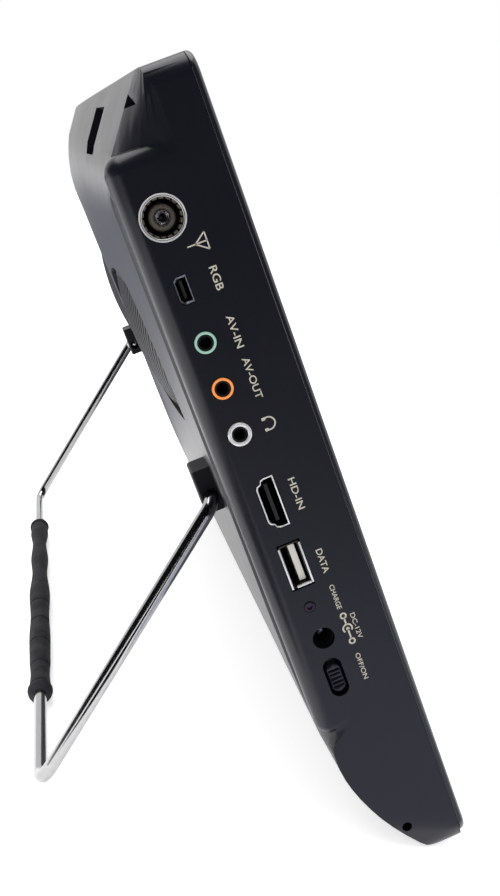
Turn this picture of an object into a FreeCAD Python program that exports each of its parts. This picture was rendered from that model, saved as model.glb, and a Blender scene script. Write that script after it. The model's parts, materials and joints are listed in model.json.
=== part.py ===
"""Portable television: a slim flat set that leans back on a folding wire stand.

Row frame: +X to the right of a person facing the screen, -Y the way the screen faces, +Z up.
The origin is on the floor, in the middle of the footprint.  The sockets are on the -X side.

The set itself is drawn upright in its own frame (x across, y from the front face to the back,
z up the front face from its bottom edge) and leans back as a whole by its Placement.
"""
import FreeCAD, Part
import math
import os
import Sketcher
from FreeCAD import Placement, Rotation, Vector

doc = FreeCAD.newDocument("portable_television")

# ------------------------------------------------------------------ driving dimensions (mm, deg)
SIZES = {
    # the case
    "case_wide": 350.0,
    "case_tall": 237.5,
    "lean_angle": 27.3,
    "wall": 2.2,
    "case_corner": 6.0,
    "bezel_thick": 2.0,
    "bezel_round": 1.7,
    "seam_gap": 0.1,
    "lip_depth": 4.0,
    "side_taper": 10.0,
    "side_flat": 12.0,
    # the display
    "view_wide": 310.0,
    "view_tall": 174.5,
    "view_middle": 132.0,
    "glass_thick": 1.8,
    "light_thick": 3.6,
    "frame_margin": 5.0,
    "frame_thick": 0.8,
    # front buttons
    "button_wide": 13.0,
    "button_tall": 6.0,
    "button_pitch": 30.0,
    "button_height": 20.0,
    "button_gap": 0.25,
    "button_travel": 0.6,
    # sockets: distance of their centre line behind the front face
    "socket_line": 22.0,
    "jack_bore": 1.8,
    "jack_ring": 2.9,
    "phones_ring": 3.3,
    "jack_deep": 12.0,
    "antenna_ring": 6.1,
    "antenna_wall": 0.8,
    "dc_bore": 3.1,
    "dc_pin": 0.95,
    "hd_long": 15.0,
    "hd_tall": 5.5,
    "data_long": 13.1,
    "data_tall": 5.7,
    "metal_skin": 0.4,
    "slot_long": 12.5,
    "slot_tall": 5.5,
    "knob_long": 8.6,
    "knob_wide": 3.9,
    "knob_travel": 1.8,
    # the wire stand
    "wire_radius": 2.2,
    "pin_gap": 0.05,
    "bail_half": 150.0,
    "bail_arm": 101.0,
    "bail_bend": 7.0,
    "pin_bend": 4.5,
    "pivot_deep": 34.8,
    "pivot_tall": 119.0,
    "grip_radius": 4.65,
    "grip_half": 95.5,
    "grip_middle": 4.5,
    "bracket_long": 13.8,
    "bracket_wide": 11.5,
    "bracket_top": 37.9,
    "foot_thick": 1.0,
}

sheet = doc.addObject("Spreadsheet::Sheet", "Sizes")
for row, (alias, value) in enumerate(SIZES.items(), start=1):
    sheet.set(f"A{row}", alias.replace("_", " "))
    sheet.set(f"B{row}", str(value))
    sheet.setAlias(f"B{row}", alias)
doc.recompute()


def size(alias):
    """The value of a driving dimension, read from the sheet."""
    return float(getattr(sheet, alias))


HALF_WIDE = size("case_wide") / 2
TALL = size("case_tall")
WALL = size("wall")
LEAN = math.radians(size("lean_angle"))
COVER_FRONT = size("bezel_thick") + size("seam_gap")
SOCKET_Y = size("socket_line")

# ------------------------------------------------------------------ the case outline, side on
# Outlines run round the section as (y, z): bottom lip, bottom sweep, back, shoulder, bevel, top.
HEEL = (13.0, 0.2)                      # the lowest corner when the set leans
LIP = [(COVER_FRONT, -1.6), (7.0, -1.9), HEEL]
SWEEP = [HEEL, (18.9, 8.1), (23.2, 15.4), (26.9, 24.0), (29.4, 33.5), (31.0, 44.0)]
EDGE_BACK = [(31.0, 44.0), (31.9, 66.0), (32.0, 110.0), (32.0, 160.0), (32.0, 203.0)]
MIDDLE_BACK = [(31.0, 44.0), (32.8, 66.0), (33.8, 110.0), (35.4, 160.0), (36.0, 200.0)]
EDGE_SHOULDER = [(32.0, 203.0), (30.8, 213.0), (27.5, 220.0)]
MIDDLE_SHOULDER = [(36.0, 200.0), (35.1, 216.0), (30.4, 229.6)]
EDGE_TOP = [(27.5, 220.0), (13.5, TALL + 1), (COVER_FRONT, TALL + 1)]
MIDDLE_TOP = [(30.4, 229.6), (23.8, TALL + 1), (COVER_FRONT, TALL + 1)]
EDGE = [LIP, SWEEP, EDGE_BACK, EDGE_SHOULDER, EDGE_TOP]
MIDDLE = [LIP, SWEEP, MIDDLE_BACK, MIDDLE_SHOULDER, MIDDLE_TOP]
CREASE = HALF_WIDE - size("side_taper")
TAPER_LOW, TAPER_HIGH = 40.0, 62.0      # the side taper fades out between these heights


def inset(outline, gap):
    """The same outline moved inwards by gap, keeping its points in step."""
    flat = [outline[0][0]] + [point for stretch in outline for point in stretch[1:]]
    moved = {}
    for index, point in enumerate(flat):
        before = flat[max(index - 1, 0)]
        after = flat[min(index + 1, len(flat) - 1)]
        run, rise = after[0] - before[0], after[1] - before[1]
        length = math.hypot(run, rise)
        moved[point] = (point[0] - gap * rise / length, point[1] + gap * run / length)
    first, last = flat[0], flat[-1]
    moved[first] = (first[0], first[1] + gap)
    moved[last] = (last[0], last[1] - gap)
    return [[moved[point] for point in stretch] for stretch in outline]


def pulled_in(outline, share):
    """The outline with its back drawn forward to the flat of the side; share 1 leaves it as it is.

    The side is drawn in fully above TAPER_HIGH and not at all below TAPER_LOW, near the heel.
    """
    flat = size("side_flat")

    def moved(y, z):
        rise = min(max((z - TAPER_LOW) / (TAPER_HIGH - TAPER_LOW), 0.0), 1.0)
        fade = rise * rise * (3 - 2 * rise)
        return y - (y - flat) * (1 - share) * fade if y > flat else y

    return [[(moved(y, z), z) for y, z in stretch] for stretch in outline]


def section(outline, x):
    """A closed wire across the case at x: curved lip, sweep, back and shoulder, straight top."""
    edges = []
    for stretch in outline[:-1]:
        curve = Part.BSplineCurve()
        curve.interpolate([Vector(x, y, z) for y, z in stretch])
        edges.append(curve.toShape())
    corners = [Vector(x, y, z) for y, z in outline[-1]]
    corners.append(Vector(x, *outline[0][0]))
    for start, end in zip(corners, corners[1:]):
        edges.append(Part.makeLine(start, end))
    return Part.Wire(edges)


def between(first, second, share):
    """The outline part of the way from first to second."""
    return [[(a[0] + (b[0] - a[0]) * share, a[1] + (b[1] - a[1]) * share) for a, b in zip(one, two)]
            for one, two in zip(first, second)]


CROWN = [(-1.0, 0.0), (-0.62, 0.44), (-0.3, 0.80), (0.0, 0.96), (0.3, 0.80), (0.62, 0.44), (1.0, 0.0)]
ROUNDING = [0.0, 0.25, 0.5, 0.7, 0.85, 0.95, 1.0]   # shares of the taper's width, crease to side


def case_solid(gap):
    """The rounded back of the set as a solid, moved inwards by gap."""
    edge = inset(EDGE, gap) if gap else EDGE
    middle = inset(MIDDLE, gap) if gap else MIDDLE
    crown = [section(between(edge, middle, share), place * CREASE) for place, share in CROWN]
    solid = Part.makeLoft(crown, True, False)
    if gap:
        steps = [(CREASE, 1.0), (CREASE + 1.4, 0.93), (HALF_WIDE + 1 - gap, 0.0)]
    else:
        steps = [(CREASE + share * size("side_taper"), math.sqrt(1 - share)) for share in ROUNDING]
    for side in (-1, 1):
        wires = [section(pulled_in(edge, share), side * x) for x, share in steps]
        solid = solid.fuse(Part.makeLoft(wires, True, True))
    return solid.removeSplitter()


def rounded_prism(half_wide, low, high, radius, y_from, y_to):
    """A prism along y whose front view is a rectangle with rounded corners."""
    solid = Part.makeBox(2 * half_wide, y_to - y_from, high - low, Vector(-half_wide, y_from, low))
    uprights = [edge for edge in solid.Edges
                if abs(edge.Vertexes[0].Y - edge.Vertexes[1].Y) > 1e-6]
    return solid.makeFillet(radius, uprights)


# ------------------------------------------------------------------ where the set stands
PORT_BLOCK_LOW, PORT_BLOCK_HIGH = 47.0, 219.8
PORT_BLOCK_WIDE = 12.0
PORT_ROOM_HIGH = 209.8
PORT_BLOCK_BACK = 31.3
BLOCK_ROUND = 4.5
FLOOR_DROP = HEEL[1] * math.cos(LEAN) - HEEL[0] * math.sin(LEAN)
outer = case_solid(0).common(rounded_prism(HALF_WIDE, -3, TALL, size("case_corner"), 0, 60))
turned = outer.copy()
turned.Placement = Placement(Vector(), Rotation(Vector(1, 0, 0), -size("lean_angle")))
toe_y = LIP[0][1] * math.sin(LEAN)
FOOTPRINT_SHIFT = -(turned.optimalBoundingBox(False).YMax + toe_y) / 2
lean = Placement(Vector(0, FOOTPRINT_SHIFT, size("foot_thick") - FLOOR_DROP),
                 Rotation(Vector(1, 0, 0), -size("lean_angle")))


def leaning(x=0.0, y=0.0, z=0.0):
    """The Placement of a piece drawn at x, y, z of the upright set."""
    return lean.multiply(Placement(Vector(x, y, z), Rotation()))


# ------------------------------------------------------------------ ways to make a piece
nodes = []


def keep(piece, label):
    """Name a finished sub-part."""
    piece.Label = label
    nodes.append(piece)
    return piece


def helper(kind, name, sizes, place):
    """A primitive whose sizes are bound to the sheet and whose Placement is in the set's frame."""
    piece = doc.addObject(kind, name)
    for prop, expression in sizes.items():
        piece.setExpression(prop, expression)
    piece.Placement = place
    return piece


def box(name, sizes, x, y, z):
    """A box from its low corner, sizes as expressions along x, y and z."""
    named = dict(zip(("Length", "Width", "Height"), sizes))
    return helper("Part::Box", name, named, Placement(Vector(x, y, z), Rotation()))


def rod(name, radius, length, x, y, z, axis=Vector(1, 0, 0)):
    """A round rod from x, y, z along axis."""
    place = Placement(Vector(x, y, z), Rotation(Vector(0, 0, 1), axis))
    return helper("Part::Cylinder", name, {"Radius": radius, "Height": length}, place)


def joined(name, pieces):
    """The union of pieces."""
    union = doc.addObject("Part::MultiFuse", name)
    union.Shapes = pieces
    return union


def cut(name, base, tools):
    """base with tools taken away, drawn in the set's frame."""
    piece = doc.addObject("Part::Cut", name)
    piece.Base = base
    piece.Tool = tools[0] if len(tools) == 1 else joined(name + "_tools", tools)
    return piece


def leaned(piece, label):
    """A finished piece of the upright set, leaned back with it."""
    place = piece.Placement
    piece.Placement = lean.multiply(place)
    return keep(piece, label)


def shaped(label, shape, place=None):
    """A piece from a ready shape."""
    piece = doc.addObject("Part::Feature", label)
    piece.Shape = shape
    piece.Placement = lean if place is None else place
    return keep(piece, label)


def plane_of(body, role):
    """One of a body's own origin planes."""
    return next(item for item in body.Origin.OriginFeatures if item.Role == role)


def sketch_in(body, name, role, offset=0.0):
    """A sketch on one of the body's own origin planes."""
    sketch = body.newObject("Sketcher::SketchObject", name)
    sketch.AttachmentSupport = [(plane_of(body, role), "")]
    sketch.MapMode = "FlatFace"
    sketch.AttachmentOffset = Placement(Vector(0, 0, offset), Rotation())
    return sketch


def bind(sketch, constraint, name, expression):
    """Add a named dimension and bind it to the sheet."""
    index = sketch.addConstraint(constraint)
    sketch.renameConstraint(index, name)
    sketch.setExpression("Constraints." + name, expression)


def draw_rectangle(sketch, tag, wide, tall, across=0.0, up=0.0):
    """A rectangle about (across, up), wide and tall being expressions."""
    w = float(sketch.evalExpression(wide))
    t = float(sketch.evalExpression(tall))
    corners = [Vector(across + sx * w / 2, up + sy * t / 2, 0)
               for sx, sy in ((-1, -1), (1, -1), (1, 1), (-1, 1))]
    first = sketch.GeometryCount
    for index in range(4):
        sketch.addGeometry(Part.LineSegment(corners[index], corners[(index + 1) % 4]), False)
    for index in range(4):
        sketch.addConstraint(Sketcher.Constraint("Coincident", first + index, 2,
                                                 first + (index + 1) % 4, 1))
    for index, kind in enumerate(("Horizontal", "Vertical", "Horizontal", "Vertical")):
        sketch.addConstraint(Sketcher.Constraint(kind, first + index))
    bind(sketch, Sketcher.Constraint("DistanceX", first, 1, first, 2, w), tag + "_wide", wide)
    bind(sketch, Sketcher.Constraint("DistanceY", first + 1, 1, first + 1, 2, t), tag + "_tall", tall)
    bind(sketch, Sketcher.Constraint("DistanceX", -1, 1, first, 1, across - w / 2),
         tag + "_across", f"{across} - ({wide}) / 2")
    bind(sketch, Sketcher.Constraint("DistanceY", -1, 1, first, 1, up - t / 2),
         tag + "_up", f"{up} - ({tall}) / 2")


def draw_circle(sketch, tag, radius, across=0.0, up=0.0):
    """A circle about (across, up), radius being an expression."""
    value = float(sketch.evalExpression(radius))
    index = sketch.addGeometry(Part.Circle(Vector(across, up, 0), Vector(0, 0, 1), value), False)
    bind(sketch, Sketcher.Constraint("Radius", index, value), tag + "_radius", radius)


def draw_stadium(sketch, long, tall, across=0.0, up=0.0, upright=False):
    """A slot shape with round ends about (across, up), sizes as numbers."""
    radius = tall / 2
    reach = long / 2 - radius
    turn = Rotation(Vector(0, 0, 1), 90 if upright else 0)
    middle = Vector(across, up, 0)

    def at(x, y):
        return middle + turn.multVec(Vector(x, y, 0))

    first = sketch.GeometryCount
    sketch.addGeometry(Part.LineSegment(at(-reach, -radius), at(reach, -radius)), False)
    sketch.addGeometry(Part.Arc(at(reach, -radius), at(reach + radius, 0), at(reach, radius)), False)
    sketch.addGeometry(Part.LineSegment(at(reach, radius), at(-reach, radius)), False)
    sketch.addGeometry(Part.Arc(at(-reach, radius), at(-reach - radius, 0), at(-reach, -radius)), False)
    return first


def new_body(label, place):
    """An empty body that will be one sub-part."""
    body = doc.addObject("PartDesign::Body", label)
    body.Placement = place
    return keep(body, label)


def pad(body, sketch, name, length, reverse=False):
    """Thicken a sketch by an expression."""
    feature = body.newObject("PartDesign::Pad", name)
    feature.Profile = sketch
    feature.setExpression("Length", length)
    feature.Reversed = reverse
    body.Tip = feature
    doc.recompute()
    return feature


def pocket(body, sketch, name, length, reverse=False):
    """Sink a sketch into the body, and see that it took something away."""
    before = body.Shape.Volume
    feature = body.newObject("PartDesign::Pocket", name)
    feature.Profile = sketch
    feature.setExpression("Length", length)
    feature.Reversed = reverse
    body.Tip = feature
    doc.recompute()
    if body.Shape.Volume > before - 1e-3:
        raise RuntimeError(f"{body.Label}: {name} cuts nothing")
    return feature


def round_edges(body, name, radius, wanted):
    """Fillet the edges of the body's tip that wanted() picks."""
    tip = body.Tip
    picked = [f"Edge{i}" for i, edge in enumerate(tip.Shape.Edges, start=1) if wanted(edge)]
    feature = body.newObject("PartDesign::Fillet", name)
    feature.Base = (tip, picked)
    feature.setExpression("Radius", radius)
    body.Tip = feature
    doc.recompute()
    return feature


def runs_along(axis):
    """A test for straight edges along one axis of the body."""
    def test(edge):
        if len(edge.Vertexes) != 2 or edge.Curve.TypeId != "Part::GeomLine":
            return False
        run = edge.Vertexes[1].Point - edge.Vertexes[0].Point
        return abs(abs(getattr(run, axis)) - run.Length) < 1e-6
    return test


# ------------------------------------------------------------------ the sockets' places
SOCKETS = {
    "antenna": 202.0,
    "rgb": 183.3,
    "av_in": 168.6,
    "av_out": 155.6,
    "phones": 142.3,
    "hd": 121.0,
    "data": 101.6,
    "led": 88.4,
    "dc": 77.8,
    "power": 65.0,
}
FACE = -HALF_WIDE
INSIDE_FACE = FACE + WALL
VENT_X, VENT_Z = 66.0, 158.0
# One vent's outline as (distance from the middle of the set, height), outer low corner first;
# every second point is the middle of an arc.
VENT_OUTLINE = [(118.0, 136.5), (68.0, 133.8), (22.0, 139.0), (14.0, 157.0),
                (22.0, 176.0), (60.0, 181.8), (96.0, 179.5), (111.0, 158.5)]
VENT_PEAK_X, VENT_PEAK_Y = 57.0, 36.7
VENT_ROUND_X, VENT_ROUND_Z = 370.0, 92.0    # how the grille's dome curves across and up
STRAP_X, STRAP_Y, STRAP_Z = 106.0, 25.6, 226.6
STRAP_WIDE, STRAP_LONG, STRAP_DEEP = 22.0, 14.0, 1.1
COVER_SCREWS = [-120.0, -40.0, 40.0, 120.0]
COVER_SCREW_Z = 32.0


def vent_prism(side, shrink, y_from, depth):
    """A prism along y with one vent's outline, made smaller all round by shrink."""
    points = []
    for x, z in VENT_OUTLINE:
        away = Vector(x - VENT_X, 0, z - VENT_Z)
        nearer = away * (1 - shrink / away.Length)
        points.append(Vector(side * (VENT_X + nearer.x), y_from, VENT_Z + nearer.z))
    points.append(points[0])
    edges = [Part.Arc(*points[first:first + 3]).toShape() for first in range(0, 8, 2)]
    return Part.Face(Part.Wire(edges)).extrude(Vector(0, depth, 0))


def side_box(y, z, deep_y, tall_z, x_from=FACE - 2, x_to=FACE + 6):
    """A box through the side wall about (y, z)."""
    return Part.makeBox(x_to - x_from, deep_y, tall_z, Vector(x_from, y - deep_y / 2, z - tall_z / 2))


def side_rod(y, z, radius, x_from=FACE - 2, x_to=FACE + 6):
    """A round hole through the side wall about (y, z)."""
    return Part.makeCylinder(radius, x_to - x_from, Vector(x_from, y, z), Vector(1, 0, 0))


def side_slot(y, z, deep_y, tall_z):
    """A hole with round ends through the side wall, long up the set."""
    reach = (tall_z - deep_y) / 2
    return side_box(y, z, deep_y, 2 * reach).fuse(
        [side_rod(y, z + reach, deep_y / 2), side_rod(y, z - reach, deep_y / 2)])


def shell_profile(points, x, y, z, length):
    """A prism along x from points (y, z) about a socket's centre line."""
    wire = Part.makePolygon([Vector(x, y + dy, z + dz) for dy, dz in points + points[:1]])
    return Part.Face(wire).extrude(Vector(length, 0, 0))


def hd_outline(grow):
    """The outline of the HD socket: wide towards the screen, stepped in towards the back."""
    half = [(-2.75, 7.5), (-0.1, 7.5), (0.9, 7.1), (1.3, 6.2), (2.3, 5.8), (2.75, 5.0)]
    factor_y, factor_z = 1 + grow / 2.75, 1 + grow / 7.5
    upper = [(y * factor_y, z * factor_z) for y, z in half]
    return upper + [(y, -z) for y, z in reversed(upper)]


def rgb_outline(factor):
    """The outline of the small video socket, with two corners cut off towards the back."""
    points = [(-1.8, -3.7), (-1.8, 3.7), (0.9, 3.7), (1.8, 2.8), (1.8, -2.8), (0.9, -3.7)]
    return [(y * factor, z * factor) for y, z in points]


# ------------------------------------------------------------------ rear cover
STRAP_NOTCH = [(21.5, 229.6), (17.3, 229.6), (18.4, 234.2)]


def strap_slots(side):
    """The sunk field on the top bevel where a hanging strap is tied, with its row of slots."""
    bevel = math.degrees(math.atan2(STRAP_DEEP * 12.7, 16.0))
    field = Placement(Vector(side * STRAP_X, STRAP_Y, STRAP_Z), Rotation(Vector(1, 0, 0), bevel))
    tools = [Part.makeBox(STRAP_WIDE, 6, STRAP_LONG, Vector(-STRAP_WIDE / 2, -STRAP_DEEP, -STRAP_LONG / 2))]
    for index in range(-2, 3):
        tools.append(Part.makeBox(2.6, 10, STRAP_LONG - 2,
                                  Vector(index * 4.2 - 1.3, -5, 1 - STRAP_LONG / 2)))
    for tool in tools:
        tool.Placement = field
    return tools


def rear_cover():
    """The tub of the case: crowned back, top bevel, side taper, port block and all its holes."""
    block = Part.makeBox(PORT_BLOCK_WIDE, PORT_BLOCK_BACK - 6, PORT_BLOCK_HIGH - PORT_BLOCK_LOW,
                         Vector(FACE, 6, PORT_BLOCK_LOW))

    def outside(edge):
        xs = [vertex.X for vertex in edge.Vertexes]
        ys = [vertex.Y for vertex in edge.Vertexes]
        on_face = max(xs) < FACE + 1e-6
        on_back = min(ys) > PORT_BLOCK_BACK - 1e-6
        at_front = max(ys) < 6 + 1e-6
        return (on_face or on_back) and not at_front

    block = block.makeFillet(BLOCK_ROUND, [edge for edge in block.Edges if outside(edge)])
    cover = outer.fuse(block)
    room = case_solid(WALL).common(
        rounded_prism(HALF_WIDE - WALL, -3, TALL - WALL, size("case_corner") - 1.5, 0, 60))
    block_room = Part.makeBox(14, PORT_BLOCK_BACK - WALL - 8,
                              PORT_ROOM_HIGH - PORT_BLOCK_LOW - WALL - 2,
                              Vector(INSIDE_FACE, 8, PORT_BLOCK_LOW + WALL + 2))
    cover = cover.cut(room.fuse(block_room))

    holes = [
        side_rod(SOCKET_Y - 0.5, SOCKETS["antenna"], size("antenna_ring") + 0.15),
        shell_profile(rgb_outline(1.06), FACE - 2, SOCKET_Y + 1.0, SOCKETS["rgb"], 8),
        side_rod(SOCKET_Y + 0.5, SOCKETS["av_in"], size("jack_ring") + 0.1),
        side_rod(SOCKET_Y + 0.5, SOCKETS["av_out"], size("jack_ring") + 0.1),
        side_rod(SOCKET_Y + 0.5, SOCKETS["phones"], size("phones_ring") + 0.1),
        shell_profile(hd_outline(0.2), FACE - 2, SOCKET_Y - 1.0, SOCKETS["hd"], 8),
        side_box(SOCKET_Y - 1.2, SOCKETS["data"], 6.8, 14.3),
        side_rod(SOCKET_Y - 0.8, SOCKETS["led"], 1.7),
        side_rod(SOCKET_Y - 1.4, SOCKETS["dc"], size("dc_bore") + 0.1),
        side_slot(SOCKET_Y - 0.8, SOCKETS["power"], size("slot_tall"), size("slot_long")),
        side_rod(17.0, 9.6, 1.5, FACE - 2, FACE + 12),
    ]
    for side in (-1, 1):
        holes.append(vent_prism(side, 0, 25, 20))
        holes.extend(strap_slots(side))
        notch = Part.Face(Part.makePolygon([Vector(side * (HALF_WIDE + 1), y, z)
                                            for y, z in STRAP_NOTCH + STRAP_NOTCH[:1]]))
        holes.append(notch.extrude(Vector(-side * 11.5, 0, 0)))
    for x in COVER_SCREWS:
        holes.append(Part.makeCylinder(3.1, 12, Vector(x, 27.5, COVER_SCREW_Z), Vector(0, 1, 0)))
        holes.append(Part.makeCylinder(1.6, 20, Vector(x, 15, COVER_SCREW_Z), Vector(0, 1, 0)))
    for hole in holes:
        cover = cover.cut(hole)
    return cover.removeSplitter()


shaped("rear_cover", rear_cover())
case_outside = outer


# ------------------------------------------------------------------ vent grilles
def vent_grille(side):
    """A domed insert with fine diagonal slots that fills one vent and stands a little proud."""
    pitch, width = 2.6, 1.1

    def dome(sink):
        ring = Part.makeTorus(VENT_ROUND_X - VENT_ROUND_Z, VENT_ROUND_Z)
        ring.translate(Vector(side * VENT_PEAK_X, VENT_PEAK_Y - sink - VENT_ROUND_X, VENT_Z))
        return vent_prism(side, 0.35, 22, 20).common(ring)

    shell = dome(0).cut(dome(1.3))
    reach = 70.0
    slots = []
    for index in range(int(-reach / pitch), int(reach / pitch) + 1):
        slot = Part.makeBox(width, 20, 140, Vector(-width / 2, -10, -70))
        turn = Rotation(Vector(0, 1, 0), side * 45)
        place = Vector(side * VENT_X, 33, VENT_Z) + turn.multVec(Vector(index * pitch, 0, 0))
        slot.Placement = Placement(place, turn)
        slots.append(slot)
    window = vent_prism(side, 3.2, 20, 24)
    return shell.cut(Part.makeCompound(slots).common(window))


shaped("vent_grille_left", vent_grille(-1))
shaped("vent_grille_right", vent_grille(1))


# ------------------------------------------------------------------ front bezel
def front_bezel():
    """The front plate, its screen window, button holes and the lip that plugs into the cover."""
    body = new_body("front_bezel", leaning())
    face = sketch_in(body, "bezel_face", "XZ_Plane")
    draw_rectangle(face, "plate", "Sizes.case_wide", "Sizes.case_tall + 1.6", up=(TALL - 1.6) / 2)
    pad(body, face, "bezel_plate", "Sizes.bezel_thick", reverse=True)
    round_edges(body, "bezel_corners", "Sizes.case_corner", runs_along("y"))
    round_edges(body, "bezel_front_edge", "Sizes.bezel_round",
                lambda edge: max(abs(vertex.Y) for vertex in edge.Vertexes) < 1e-6)

    lip = sketch_in(body, "bezel_lip_outline", "XZ_Plane", -size("bezel_thick"))
    draw_rectangle(lip, "lip_outside", "Sizes.case_wide - 2 * Sizes.wall - 1.2",
                   "Sizes.case_tall - 2 * Sizes.wall - 0.6", up=TALL / 2)
    draw_rectangle(lip, "lip_inside", "Sizes.case_wide - 4 * Sizes.wall - 1.2",
                   "Sizes.case_tall - 4 * Sizes.wall - 0.6", up=TALL / 2)
    pad(body, lip, "bezel_lip", "Sizes.lip_depth", reverse=True)
    along = runs_along("y")
    lip_half = HALF_WIDE - WALL - 0.6
    round_edges(body, "bezel_lip_corners", "Sizes.case_corner - 0.6",
                lambda edge: along(edge) and abs(abs(edge.Vertexes[0].X) - lip_half) < 1e-6)

    posts = sketch_in(body, "bezel_post_outlines", "XZ_Plane", -size("bezel_thick"))
    for index, x in enumerate(COVER_SCREWS):
        draw_circle(posts, f"post_{index}", "Sizes.wall + 1.3", x, COVER_SCREW_Z)
    pad(body, posts, "bezel_posts", "23", reverse=True)

    window = sketch_in(body, "bezel_window", "XZ_Plane")
    draw_rectangle(window, "view", "Sizes.view_wide", "Sizes.view_tall", up=size("view_middle"))
    pocket(body, window, "bezel_view", "Sizes.bezel_thick + Sizes.lip_depth")

    holes = sketch_in(body, "bezel_button_holes", "XZ_Plane")
    for index in range(-3, 4):
        draw_stadium(holes, size("button_wide") + 2 * size("button_gap"),
                     size("button_tall") + 2 * size("button_gap"),
                     index * size("button_pitch"), size("button_height"))
    draw_circle(holes, "ir_hole", "Sizes.jack_bore + 0.7", 130, size("button_height"))
    pocket(body, holes, "bezel_button_cuts", "Sizes.bezel_thick")

    threads = sketch_in(body, "bezel_thread_holes", "XZ_Plane", -12)
    for index, x in enumerate(COVER_SCREWS):
        draw_circle(threads, f"thread_{index}", "Sizes.jack_bore - 0.5", x, COVER_SCREW_Z)
    pocket(body, threads, "bezel_threads", "16")


front_bezel()


# ------------------------------------------------------------------ display stack
def plate(label, wide, tall, thick, y, x=0.0, z=0.0):
    """A flat plate parallel to the screen, about (x, z), its front at y."""
    body = new_body(label, leaning(x, y, z))
    outline = sketch_in(body, label + "_outline", "XZ_Plane")
    draw_rectangle(outline, "plate", wide, tall)
    pad(body, outline, label + "_pad", thick, reverse=True)
    return body


VIEW_Z = size("view_middle")
GLASS_Y = size("bezel_thick") + 0.1
LIGHT_Y = GLASS_Y + size("glass_thick")
FRAME_Y = LIGHT_Y + size("light_thick")
plate("lcd_panel", "Sizes.view_wide + 8", "Sizes.view_tall + 8", "Sizes.glass_thick", GLASS_Y, 0, VIEW_Z)
plate("backlight", "Sizes.view_wide + 8", "Sizes.view_tall + 8", "Sizes.light_thick", LIGHT_Y, 0, VIEW_Z)


def lcd_frame():
    """A sheet metal tray that holds the panel and backlight, with four spacers for the board."""
    body = plate("lcd_frame", "Sizes.view_wide + 2 * Sizes.frame_margin + 1.6",
                 "Sizes.view_tall + 2 * Sizes.frame_margin + 1.6", "Sizes.frame_thick", FRAME_Y, 0, VIEW_Z)
    rim = sketch_in(body, "frame_rim_outline", "XZ_Plane")
    draw_rectangle(rim, "rim_outside", "Sizes.view_wide + 2 * Sizes.frame_margin + 1.6",
                   "Sizes.view_tall + 2 * Sizes.frame_margin + 1.6")
    draw_rectangle(rim, "rim_inside", "Sizes.view_wide + 2 * Sizes.frame_margin",
                   "Sizes.view_tall + 2 * Sizes.frame_margin")
    pad(body, rim, "frame_rim", "Sizes.light_thick")
    spacers = sketch_in(body, "frame_spacer_outlines", "XZ_Plane", -size("frame_thick"))
    for index, (x, z) in enumerate(BOARD_FIXINGS):
        draw_circle(spacers, f"spacer_{index}", "Sizes.wall + 0.6", x, z - VIEW_Z)
    pad(body, spacers, "frame_spacers", "Sizes.lip_depth", reverse=True)
    threads = sketch_in(body, "frame_thread_holes", "XZ_Plane", -size("frame_thick") - 1)
    for index, (x, z) in enumerate(BOARD_FIXINGS):
        draw_circle(threads, f"thread_{index}", "Sizes.jack_bore - 0.5", x, z - VIEW_Z)
    pocket(body, threads, "frame_threads", "Sizes.lip_depth - 1")


BOARD_FIXINGS = [(-94.0, 66.0), (24.0, 66.0), (-94.0, 134.0), (24.0, 134.0)]
lcd_frame()
BOARD_Y = FRAME_Y + size("frame_thick") + size("lip_depth")
BOARD_THICK = 1.6


def main_board():
    """The picture and sound board, screwed to the frame's spacers."""
    body = plate("main_board", "130", "80", "1.6", BOARD_Y, -35, 100)
    holes = sketch_in(body, "board_holes", "XZ_Plane")
    for index, (x, z) in enumerate(BOARD_FIXINGS):
        draw_circle(holes, f"hole_{index}", "Sizes.jack_bore - 0.2", x + 35, z - 100)
    pocket(body, holes, "board_hole_cuts", "Sizes.wall")


main_board()
plate("tuner_can", "40", "24", "8", BOARD_Y, -150 + 12, 202)
plate("battery_pack", "120", "62", "11", FRAME_Y + 1, 92, 84)
plate("panel_ribbon", "60", "34", "0.3", FRAME_Y + size("frame_thick") + 0.3, -35, 160)


def speaker(label, side):
    """A flat oval loudspeaker: magnet, cone housing and rim."""
    x = side * VENT_X
    rim = box(label + "_rim", ("56", "1.6", "30"), x - 28, 27.6, VENT_Z - 15)
    cone = box(label + "_cone", ("50", "5.2", "24"), x - 25, 22.4, VENT_Z - 12)
    magnet = rod(label + "_magnet", "9", "4", x, 18.4, VENT_Z, Vector(0, 1, 0))
    leaned(joined(label, [rim, cone, magnet]), label)


speaker("speaker_left", -1)
speaker("speaker_right", 1)

# ------------------------------------------------------------------ front buttons
PLUNGER_GAP = size("button_travel") + 0.15
BUTTON_X = [index * size("button_pitch") for index in range(-3, 4)]
BUTTONS = ["button_source", "button_menu", "button_volume_down", "button_volume_up",
           "button_channel_down", "button_channel_up", "button_standby"]
SWITCH_TOP_Y = 6.0


def front_button(label, x):
    """A key cap with a flange behind the bezel and a stem that reaches its switch."""
    body = new_body(label, leaning(x, 0.0, size("button_height")))
    cap = sketch_in(body, label + "_cap_outline", "XZ_Plane", 0.4)
    draw_stadium(cap, size("button_wide"), size("button_tall"))
    pad(body, cap, label + "_cap", "Sizes.bezel_thick + 0.6", reverse=True)
    flange = sketch_in(body, label + "_flange_outline", "XZ_Plane", -size("bezel_thick") - 0.2)
    draw_stadium(flange, size("button_wide") + 2.4, size("button_tall") + 2.4)
    pad(body, flange, label + "_flange", "1", reverse=True)
    stem = sketch_in(body, label + "_stem_outline", "XZ_Plane", -size("bezel_thick") - 1.0)
    draw_circle(stem, "stem", "Sizes.jack_bore")
    pad(body, stem, label + "_stem", f"{SWITCH_TOP_Y - PLUNGER_GAP - size('bezel_thick') - 1.0}",
        reverse=True)


for label, x in zip(BUTTONS, BUTTON_X):
    front_button(label, x)


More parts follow.
